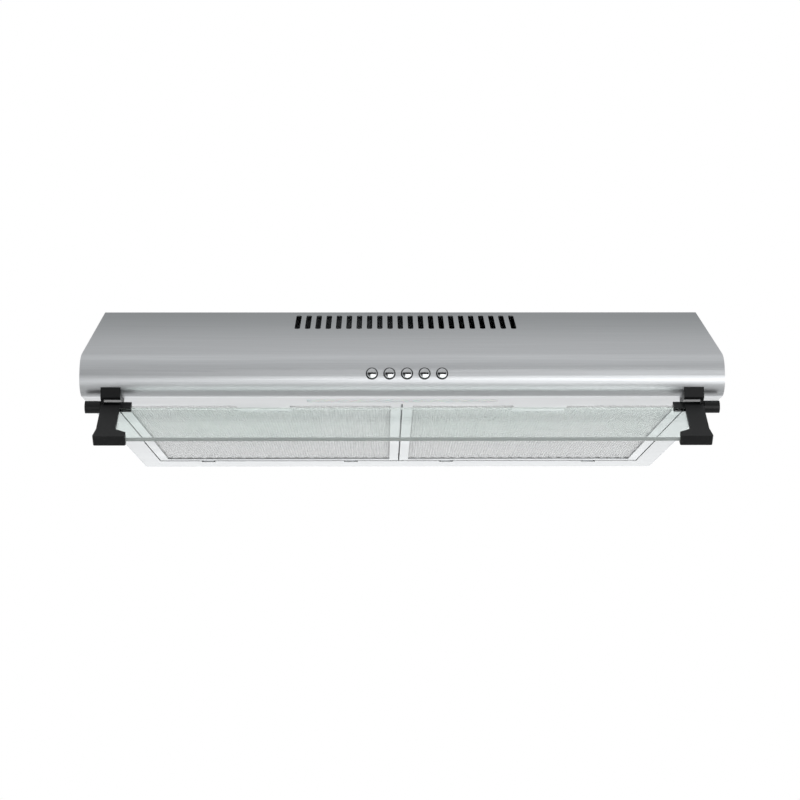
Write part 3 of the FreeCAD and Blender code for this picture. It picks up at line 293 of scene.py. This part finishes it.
dress(aluminium("rolled_aluminium", "#C0C2C3", "#D0D2D3", (60, 60, 0.8), 0.42), "filter_frame_left",
      "filter_frame_right")
dress(aluminium("drawn_aluminium_can", "#C8CACC", "#DCDEDF", (1.0, 1.0, 25), 0.3), "capacitor")
dress(aluminium("turned_aluminium_hub", "#C2C4C6", "#D8DADB", (8, 8, 0.6), 0.28), "impeller_hub")

# %% [markdown]
# ## Zinc-plated steel, painted steel and bronze
# Screws, pins and the shaft are zinc-plated and a little blotched. The motor's shell is painted grey, and its
# sleeve bearings are sintered bronze, which is grainy because it holds oil.

# %% Zinc, paint and bronze
def blotched_metal(name, dark, light, size_mm, roughness):
    """A plated or sintered metal with soft blotches."""
    material, tree, shader = start(name, light, Metallic=1.0, Roughness=roughness)
    blotches = grain(tree, (size_mm, size_mm, size_mm), 5.0)
    tint(tree, shader, blotches, dark, light)
    tree.links.new(spread(tree, blotches, roughness - 0.06, roughness + 0.08), shader.inputs["Roughness"])
    relief(tree, shader, blotches, 0.01)
    return material


dress(blotched_metal("zinc_plated_steel", "#A9AEB2", "#C6CACD", 3.0, 0.33), "bracket_screws", "collar_screws",
      "housing_screws", "lug_screws", "motor_shaft", "visor_pin_left", "visor_pin_right")
dress(blotched_metal("sintered_bronze", "#8E6A3C", "#B98E56", 0.8, 0.45), "motor_bearings")


def painted_steel(name, dark, light):
    """Stove enamel on steel: an even coat with a faint orange peel, 2.5 mm from crest to crest."""
    material, tree, shader = start(name, light, Roughness=0.38, Coat_Weight=0.25, Coat_Roughness=0.2)
    peel = grain(tree, (2.5, 2.5, 2.5), 2.0)
    tint(tree, shader, grain(tree, (18, 18, 18)), dark, light)
    relief(tree, shader, peel, 0.02)
    return material


dress(painted_steel("stove_enamelled_steel", "#82868A", "#8E9296"), "motor_body")

# %% [markdown]
# ## Moulded plastics
# The hinge arms and lugs are black ABS from a finely sparked mould, so they are satin, not shiny. The switch
# block and the gland are glass-filled nylon, duller and a touch greyer. The collar, its flaps and the scroll
# are grey polypropylene, the impeller is dark nylon, the latches are grey ABS, and the lamp's tray, its board
# and the terminal box are white. One finish with a fine moulded grain serves all of them, with its own
# colour, roughness and grain size for each. Black ABS also mirrors less than the others.

# %% Moulded plastics
def moulded(name, dark, light, grain_mm, roughness, depth_mm=0.02, specular=0.5):
    """A moulded plastic: mould grain of a real size, and a slight shift of tone over 25 mm."""
    material, tree, shader = start(name, light, Roughness=roughness, IOR=1.52, Specular_IOR_Level=specular)
    tint(tree, shader, grain(tree, (25, 25, 25)), dark, light)
    texture = grain(tree, (grain_mm, grain_mm, grain_mm), 2.0)
    tree.links.new(spread(tree, texture, roughness - 0.05, roughness + 0.05), shader.inputs["Roughness"])
    relief(tree, shader, texture, depth_mm)
    return material


dress(moulded("black_abs", "#0A0B0C", "#111213", 0.7, 0.4, specular=0.3), "visor_arm_left", "visor_arm_right",
      "visor_lug_left", "visor_lug_right")
dress(moulded("black_filled_nylon", "#1B1C1E", "#26272A", 1.2, 0.5), "switch_body", "cable_gland")
dress(moulded("grey_polypropylene", "#6F7376", "#7C8083", 0.9, 0.45), "duct_collar", "duct_flap_front",
      "duct_flap_rear", "scroll_housing", "scroll_floor")
dress(moulded("dark_fan_nylon", "#3A3C3F", "#46494C", 1.0, 0.42), "impeller")
dress(moulded("latch_abs", "#5C6063", "#6A6E71", 0.6, 0.4), "filter_latch_left", "filter_latch_right")
dress(moulded("white_polycarbonate", "#DEDFDC", "#E8E8E5", 0.9, 0.4), "lamp_tray", "led_board",
      "terminal_box", "terminal_lid", "terminal_block")

# %% [markdown]
# ## The frosted lens
# The lamp's lens is frosted polycarbonate: light goes in, spreads and comes out milky. A white plastic would
# look dead, so some of the light is let under the surface.

# %% Frosted lens
lens, tree, shader = start("frosted_polycarbonate", "#F1F2F1", Roughness=0.5, IOR=1.58,
                           Subsurface_Weight=0.35, Subsurface_Scale=0.004)
relief(tree, shader, grain(tree, (0.8, 0.8, 0.8), 2.0), 0.015)
dress(lens, "lamp_lens")

# %% [markdown]
# ## The filters' mesh
# A grease filter holds layers of expanded aluminium: sheet that is slit and stretched until each slit opens
# into a diamond, then pressed with shallow ridges that run a little outwards to the back. Cutting thousands
# of diamonds one by one would be slow. A square grid turned by 45 degrees and stretched is already the
# pattern, so each square is inset to leave its strands and the middles are deleted. In the picture the
# diamonds look about 4 mm long; these are 5.8 mm, so that single strands still show.

# %% Operators used by several pieces
SMOOTH_UNDER = math.radians(40)
BEVEL_OVER = math.radians(50)


def deselect():
    """Leave nothing selected, so that an operator acts on the new piece alone."""
    if bpy.context.mode != "OBJECT":
        bpy.ops.object.mode_set(mode="OBJECT")
    bpy.ops.object.select_all(action="DESELECT")


def keep_place(name):
    """Name the new piece and put its place into its mesh."""
    piece = bpy.context.active_object
    piece.name = name
    piece.data.name = name
    bpy.ops.object.transform_apply(location=True, rotation=True, scale=True)
    return piece


def pick(piece, mode, wanted):
    """In edit mode, select only the vertices or faces for which wanted(item) is true."""
    bpy.ops.object.mode_set(mode="EDIT")
    bpy.ops.mesh.select_mode(type=mode)
    bpy.ops.mesh.select_all(action="DESELECT")
    bpy.ops.object.mode_set(mode="OBJECT")
    items = piece.data.vertices if mode == "VERT" else piece.data.polygons
    for item in items:
        item.select = bool(wanted(item))
    bpy.ops.object.mode_set(mode="EDIT")


def trim(low, high):
    """Cut the piece in edit mode to the rectangle low..high, seen from above."""
    cuts = [((low[0], 0, 0), (-1, 0, 0)), ((high[0], 0, 0), (1, 0, 0)),
            ((0, low[1], 0), (0, -1, 0)), ((0, high[1], 0), (0, 1, 0))]
    for place, outwards in cuts:
        bpy.ops.mesh.select_all(action="SELECT")
        bpy.ops.mesh.bisect(plane_co=place, plane_no=outwards, clear_outer=True)


def add_modifier(piece, kind, **settings):
    """Add a modifier with its settings and apply it."""
    deselect()
    piece.select_set(True)
    bpy.context.view_layer.objects.active = piece
    step = piece.modifiers.new(kind.lower(), kind)
    for name, value in settings.items():
        setattr(step, name, value)
    bpy.ops.object.modifier_apply(modifier=step.name)


def count_triangles(piece):
    """The number of triangles in the piece's mesh."""
    return sum(len(p.vertices) - 2 for p in piece.data.polygons)


# %% A ridged layer of the filter
RIDGE_PITCH = 11.0 * MM
RIDGE_HEIGHT = 1.7 * MM
RIDGE_TURN = math.radians(11)
LAYER_REACH = 520.0 * MM
NET_TUCK = 8.5 * MM
FILTER_BORDER = 10.0 * MM


def filter_window(side):
    """The opening of one filter's frame, with a few millimetres tucked under its border."""
    low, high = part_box("filter_frame_" + side)
    net_low, net_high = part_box("filter_net_" + side)
    inset = FILTER_BORDER - NET_TUCK
    low = Vector((low.x + inset, net_low.y + inset, net_low.z))
    high = Vector((high.x - inset, net_high.y - inset, net_high.z))
    return low, high


def ridged_layer(name, side, z):
    """A sheet pressed with parallel ridges, trimmed to the filter's window."""
    low, high = filter_window(side)
    middle = (low + high) / 2
    columns = 2 * round(LAYER_REACH / RIDGE_PITCH)
    deselect()
    bpy.ops.mesh.primitive_grid_add(x_subdivisions=columns, y_subdivisions=1, size=LAYER_REACH,
                                    location=(middle.x, middle.y, z))
    sheet = keep_place(name)
    step = LAYER_REACH / columns
    pick(sheet, "VERT", lambda v: round((v.co.x - middle.x + LAYER_REACH / 2) / step) % 2)
    bpy.ops.transform.translate(value=(0, 0, RIDGE_HEIGHT))
    bpy.ops.mesh.select_all(action="SELECT")
    way = -1 if side == "right" else 1
    bpy.ops.transform.rotate(value=-way * RIDGE_TURN, orient_axis="Z",
                             center_override=(middle.x, middle.y, z))
    bpy.ops.object.mode_set(mode="OBJECT")
    add_modifier(sheet, "SUBSURF", levels=2, render_levels=2)
    bpy.ops.object.mode_set(mode="EDIT")
    trim(low, high)
    bpy.ops.object.mode_set(mode="OBJECT")
    return sheet


# %% The expanded mesh
DIAMOND_LONG = 5.8 * MM
DIAMOND_SHORT = 5.0 * MM
STRAND = 0.45 * MM
STRAND_THICK = 0.5 * MM
LATCH_CLEAR = 2.5 * MM
LATCH_TRAVEL = 5.0 * MM


def over_latch(face, side):
    """True for a face that lies in the latch's way."""
    low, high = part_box("filter_latch_" + side)
    beside = low.x - LATCH_CLEAR < face.center.x < high.x + LATCH_CLEAR
    return beside and face.center.y < high.y + LATCH_TRAVEL + LATCH_CLEAR


def expanded_mesh(name, side, former):
    """Diamonds cut from a turned and stretched grid, pressed onto the ridges, then given a thickness."""
    low, high = filter_window(side)
    middle = (low + high) / 2
    across = (high.x - low.x) / DIAMOND_LONG + (high.y - low.y) / DIAMOND_SHORT + 2
    squares = 2 * math.ceil(across / 2)
    deselect()
    bpy.ops.mesh.primitive_grid_add(x_subdivisions=squares, y_subdivisions=squares, size=squares,
                                    location=(0, 0, 0), rotation=(0, 0, math.pi / 4))
    net = keep_place(name)
    diagonal = math.sqrt(2)
    net.scale = (DIAMOND_LONG / diagonal, DIAMOND_SHORT / diagonal, 1)
    net.location = middle
    bpy.ops.object.transform_apply(location=True, rotation=True, scale=True)
    bpy.ops.object.mode_set(mode="EDIT")
    trim(low, high)
    bpy.ops.mesh.select_mode(type="FACE")
    bpy.ops.mesh.select_all(action="SELECT")
    bpy.ops.mesh.inset(thickness=STRAND, use_individual=True, use_even_offset=True)
    bpy.ops.mesh.delete(type="FACE")
    pick(net, "FACE", lambda face: over_latch(face, side))
    bpy.ops.mesh.delete(type="FACE")
    bpy.ops.object.mode_set(mode="OBJECT")
    add_modifier(net, "SHRINKWRAP", wrap_method="PROJECT", target=former, use_project_z=True,
                 use_positive_direction=True, use_negative_direction=True)
    add_modifier(net, "SOLIDIFY", thickness=STRAND_THICK, offset=-1.0)
    return net


# %% Finish of the mesh and its inner layers
net_finish, tree, shader = start("expanded_aluminium", "#F4F5F5", Metallic=0.5, Roughness=0.5)
dulling_and_painted_shade = grain(tree, (14, 14, 14), 4.0)
tint(tree, shader, dulling_and_painted_shade, "#F0F1F1", "#FBFBFB")
tree.links.new(spread(tree, dulling_and_painted_shade, 0.4, 0.5), shader.inputs["Roughness"])

layer_finish, tree, shader = start("layered_aluminium_mesh", "#E6E7E7", Metallic=0.4, Roughness=0.5)
place = add(tree, "ShaderNodeTexCoord")
in_mm = add(tree, "ShaderNodeMapping", {"Scale": [1 / MM] * 3}, Vector=place.outputs["Object"])
holes = add(tree, "ShaderNodeTexBrick", {"Scale": 1.0, "Brick Width": 4.2, "Row Height": 2.4,
            "Mortar Size": 0.45, "Mortar Smooth": 0.3, "Color1": linear("#E6E8E9"),
            "Color2": linear("#F2F3F4"), "Mortar": linear("#F6F7F7")}, Vector=in_mm.outputs["Vector"])
tree.links.new(holes.outputs["Color"], shader.inputs["Base Color"])
relief(tree, shader, holes.outputs["Fac"], 0.15, 0.5)

# %% Build both filters' mesh
FORMER_LIFT = 0.2 * MM
LAYER_GAP = 1.6 * MM
for side in ("left", "right"):
    net_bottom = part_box("filter_net_" + side)[0].z
    former = ridged_layer("filter_layers_" + side, side, net_bottom + FORMER_LIFT)
    net = expanded_mesh("filter_mesh_" + side, side, former)
    net.data.materials.append(net_finish)
    deselect()
    former.select_set(True)
    bpy.context.view_layer.objects.active = former
    bpy.ops.object.mode_set(mode="EDIT")
    bpy.ops.mesh.select_all(action="SELECT")
    bpy.ops.transform.translate(value=(0, 0, LAYER_GAP))
    bpy.ops.object.mode_set(mode="OBJECT")
    bpy.ops.object.shade_smooth()
    former.data.materials.append(layer_finish)
    for piece in (net, former):
        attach(piece, "filter_" + side)
    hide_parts("filter_net_" + side)
    print(net.name, count_triangles(net), "triangles;", former.name, count_triangles(former))

# %% [markdown]
# ## The push buttons
# Each button is a chromed ABS cap with a low dome, in a thin black bezel. It could be spun from a profile;
# here a short cylinder is rounded at its rim and its face is inset step by step, each step raised a little
# less, which makes the dome. One cap and one bezel are modelled, then copied.

# %% One cap
BUTTONS = 5
CAP_LENGTH = 9.2 * MM
CAP_RIM = 0.9 * MM
DOME_INSET = 0.75 * MM
DOME_STEPS = (0.12 * MM, 0.09 * MM, 0.065 * MM, 0.04 * MM)
STEM_R = 2.0 * MM
low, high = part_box("push_button_1")
cap_middle = (low + high) / 2
cap_r = (high.x - low.x) / 2
dome_height = sum(DOME_STEPS)
cap_depth = CAP_LENGTH - dome_height
cap_y = low.y + dome_height + cap_depth / 2
deselect()
bpy.ops.mesh.primitive_cylinder_add(vertices=48, radius=cap_r, depth=cap_depth, rotation=(math.pi / 2, 0, 0),
                                    location=(cap_middle.x, cap_y, cap_middle.z))
cap = keep_place("button_cap_1")
pick(cap, "FACE", lambda face: face.normal.y < -0.9)
bpy.ops.mesh.bevel(offset=CAP_RIM, segments=6, affect="EDGES")
# Only the flat front, without the innermost ring of the rounded rim.
pick(cap, "FACE", lambda face: face.normal.y < -0.9999)
for rise in DOME_STEPS:
    bpy.ops.mesh.inset(thickness=DOME_INSET)
    bpy.ops.transform.translate(value=(0, -rise, 0))
pick(cap, "FACE", lambda face: face.normal.y > 0.99)
bpy.ops.mesh.inset(thickness=cap_r - STEM_R)
bpy.ops.mesh.extrude_region_move(TRANSFORM_OT_translate={"value": (0, high.y - low.y - CAP_LENGTH, 0)})
bpy.ops.object.mode_set(mode="OBJECT")
bpy.ops.object.shade_smooth_by_angle(angle=SMOOTH_UNDER)
print("cap", round(cap_r / MM, 2), "mm radius,", count_triangles(cap), "triangles")

# %% One bezel
BEZEL_R = 5.7 * MM
BEZEL_BORE_R = 5.25 * MM
BEZEL_DEPTH = 0.55 * MM
BEZEL_ROUND = 0.18 * MM
nose_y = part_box("canopy")[0].y
deselect()
bpy.ops.mesh.primitive_cylinder_add(vertices=64, radius=BEZEL_R, depth=BEZEL_DEPTH,
                                    rotation=(math.pi / 2, 0, 0),
                                    location=(cap_middle.x, nose_y - BEZEL_DEPTH / 2, cap_middle.z))
bezel = keep_place("button_bezel_1")
pick(bezel, "FACE", lambda face: abs(face.normal.y) > 0.9)
bpy.ops.mesh.inset(thickness=BEZEL_R - BEZEL_BORE_R)
bpy.ops.mesh.bridge_edge_loops()
bpy.ops.object.mode_set(mode="OBJECT")
add_modifier(bezel, "BEVEL", width=BEZEL_ROUND, segments=3, limit_method="ANGLE", angle_limit=BEVEL_OVER)
bpy.ops.object.shade_smooth_by_angle(angle=SMOOTH_UNDER)
print("bezel", count_triangles(bezel), "triangles")

# %% Chrome, and the copies
chrome, tree, shader = start("chromed_abs", "#E2E4E6", Metallic=1.0, Roughness=0.07)
smudge = grain(tree, (4, 4, 4), 4.0)
tint(tree, shader, smudge, "#DADCDE", "#E8EAEB")
tree.links.new(spread(tree, smudge, 0.05, 0.13), shader.inputs["Roughness"])
cap.data.materials.append(chrome)
bezel.data.materials.append(moulded("black_bezel_abs", "#131415", "#1B1C1E", 0.5, 0.3, 0.01))


def copy_to(piece, name, shift):
    """A copy with its own mesh, moved by shift."""
    made = piece.copy()
    made.data = piece.data.copy()
    made.name = name
    made.data.name = name
    bpy.context.collection.objects.link(made)
    made.data.transform(Matrix.Translation(shift))
    return made


for number in range(1, BUTTONS + 1):
    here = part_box("push_button_%d" % number)
    shift = Vector(((here[0].x + here[1].x) / 2 - cap_middle.x, 0, 0))
    one_cap, one_bezel = cap, bezel
    if number > 1:
        one_cap = copy_to(cap, "button_cap_%d" % number, shift)
        one_bezel = copy_to(bezel, "button_bezel_%d" % number, shift)
    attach(one_cap, "button_%d" % number)
    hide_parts("push_button_%d" % number)
    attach(one_bezel, "hood")
print(BUTTONS, "caps and bezels")

# %% [markdown]
# ## The glass visor
# The strip is 4 mm float glass. Its two large faces are clear, and its edges are ground with a belt, so they
# are matt and scatter a pale green light. One material can't be both, so the strip is modelled again at the
# drawing's place, its sharp arrises are bevelled as a glazier does, and its edge faces get their own finish.

# %% The glass strip
GLASS_T = 4.0 * MM
GLASS_TURN = math.radians(45)
ARRIS = 0.5 * MM
low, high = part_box("visor_glass")
glass_middle = (low + high) / 2
glass_length = high.x - low.x
glass_height = ((high.y - low.y) - GLASS_T * math.sin(GLASS_TURN)) / math.cos(GLASS_TURN)
deselect()
bpy.ops.mesh.primitive_cube_add(size=1, scale=(glass_length, glass_height, GLASS_T),
                                rotation=(GLASS_TURN, 0, 0), location=glass_middle)
strip = keep_place("visor_glass_strip")
add_modifier(strip, "BEVEL", width=ARRIS, segments=2, limit_method="ANGLE", angle_limit=BEVEL_OVER)
clear_way = Vector((0, -math.sin(GLASS_TURN), math.cos(GLASS_TURN)))
clear_glass, tree, shader = start("float_glass", "#F3FAF7", Roughness=0.02, IOR=1.52, Transmission_Weight=1.0)
tint(tree, shader, grain(tree, (60, 60, 60)), "#F0F9F5", "#F6FBF9")
ground_edge, tree, shader = start("ground_glass_edge", "#E6EFEB", Roughness=0.45, IOR=1.52,
                                  Transmission_Weight=0.6)
scratch = grain(tree, (12, 0.5, 0.5), 3.0)
tint(tree, shader, scratch, "#E0EAE6", "#EEF5F2")
relief(tree, shader, scratch, 0.02)
strip.data.materials.append(clear_glass)
strip.data.materials.append(ground_edge)
for face in strip.data.polygons:
    face.material_index = 0 if abs(face.normal.dot(clear_way)) > 0.99 else 1
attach(strip, "visor")
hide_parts("visor_glass")
print("glass strip", [round(v / MM, 1) for v in (glass_length, glass_height, GLASS_T)], "mm")

# %% [markdown]
# ## The floor, the background and the lights
# The hood hangs in front of plain white, over a low pale platform. Brushed steel shows its surroundings, so
# these are built as a studio would be. Reflections see a bright backdrop low behind the hood, which the
# underside mirrors, a paler ground, greyer air elsewhere, and a dim corner low at the front left. One soft
# box in front, right of the middle, draws the bright band along the nose. The platform has an upper side
# only: the camera sees it close to white from above and looks through it from below.

# %% Floor
FLOOR_PLACE = (0, 0.1, -0.62)
FLOOR_SIZE = (7.0, 2.4, 1)
FLOOR_GLOW = 0.55
deselect()
bpy.ops.mesh.primitive_plane_add(size=1, location=FLOOR_PLACE)
bpy.context.active_object.scale = FLOOR_SIZE
floor = keep_place("studio_floor")
floor_finish, tree, shader = start("pale_floor", "#EFEFEE", Roughness=0.85)
tint(tree, shader, grain(tree, (90, 90, 90)), "#EDEDEC", "#F2F2F1")
shader.inputs["Emission Color"].default_value = linear("#FFFFFF")
glow = calculate(tree, "MULTIPLY", seen_directly(tree), FLOOR_GLOW)
tree.links.new(glow, shader.inputs["Emission Strength"])
side_seen = add(tree, "ShaderNodeNewGeometry")
clear = add(tree, "ShaderNodeBsdfTransparent")
one_sided = switch(tree, side_seen.outputs["Backfacing"], shader.outputs[0], clear.outputs[0])
tree.links.new(one_sided, tree.nodes["Material Output"].inputs["Surface"])
floor.data.materials.append(floor_finish)
print("floor at", FLOOR_PLACE[2], "m")

# %% World: bright low behind, paler below, dim low at the front left
AIR, BACKDROP = 0.53, 1.4
world = bpy.data.worlds.new("studio_world")
bpy.context.scene.world = world
world.use_nodes = True
tree = world.node_tree
tree.nodes.clear()
way = add(tree, "ShaderNodeTexCoord")
parts = add(tree, "ShaderNodeSeparateXYZ", Vector=way.outputs["Generated"])
right, back, up = (parts.outputs[axis] for axis in "XYZ")

behind = remap(tree, back, (0.0, 0.6), (0.0, 1.0), "SMOOTHSTEP")
low_down = remap(tree, up, (0.12, 0.55), (1.0, 0.0), "SMOOTHSTEP")
ground = remap(tree, up, (0.0, -0.3), (0.0, 0.55), "SMOOTHSTEP")
bright = calculate(tree, "MAXIMUM", calculate(tree, "MULTIPLY", behind, low_down), ground)
shade = remap(tree, bright, (0.0, 1.0), (AIR, BACKDROP))

ahead = remap(tree, back, (-0.2, -0.8), (0.0, 1.0), "SMOOTHSTEP")
leftwards = remap(tree, right, (0.15, -0.25), (0.15, 1.0), "SMOOTHSTEP")
loss = remap(tree, up, (0.12, 0.32), (0.4, -0.05), "SMOOTHSTEP")
dim = calculate(tree, "MULTIPLY", calculate(tree, "MULTIPLY", ahead, leftwards), loss)
light_level = calculate(tree, "SUBTRACT", shade, dim)

soft = add(tree, "ShaderNodeBackground", {"Color": linear("#FBFCFD")}, Strength=light_level)
plain = add(tree, "ShaderNodeBackground", {"Color": linear("#FFFFFF"), "Strength": 1.0})
seen = switch(tree, seen_directly(tree), soft.outputs[0], plain.outputs[0])
add(tree, "ShaderNodeOutputWorld", Surface=seen)
print("world from", AIR, "to", BACKDROP)


# %% Soft boxes
def soft_box(name, place, target, size, power):
    """A rectangular soft light at a place, turned to a target."""
    data = bpy.data.lights.new(name, "AREA")
    data.shape = "RECTANGLE"
    data.size, data.size_y = size
    data.energy = power
    box = bpy.data.objects.new(name, data)
    bpy.context.collection.objects.link(box)
    aim = (Vector(target) - Vector(place)).to_track_quat("-Z", "Y")
    box.matrix_world = Matrix.Translation(place) @ aim.to_matrix().to_4x4()


soft_box("front_soft_box", (1.0, -2.3, -0.71), (1.0, 0, -0.71), (2.5, 1.5), 17)
soft_box("top_soft_box", (0.2, -0.2, 2.5), (0, 0, 0), (3.2, 3.2), 6)
soft_box("bounce_card", (0.0, 1.0, -0.58), (0, -0.1, -0.1), (1.8, 0.8), 3.0)
print("three soft boxes")

# %% A dark bar for the chrome
# It stands just above the soft box and reaches further left. Each button mirrors it as a thin dark line, and
# the brushed steel blurs it away. The camera doesn't see it, and it casts no shadow.
BAR_PLACE = (-0.35, -2.35, 0.24)
BAR_SIZE = (2.5, 0.36, 1)
deselect()
bpy.ops.mesh.primitive_plane_add(size=1, rotation=(math.pi / 2, 0, 0), location=BAR_PLACE)
bpy.context.active_object.scale = BAR_SIZE
bar = keep_place("dark_bar")
bar.data.materials.append(start("black_felt", "#101010", Roughness=0.9)[0])
bar.visible_camera = False
bar.visible_shadow = False
bar.visible_diffuse = False
print("dark bar at", BAR_PLACE, "m")
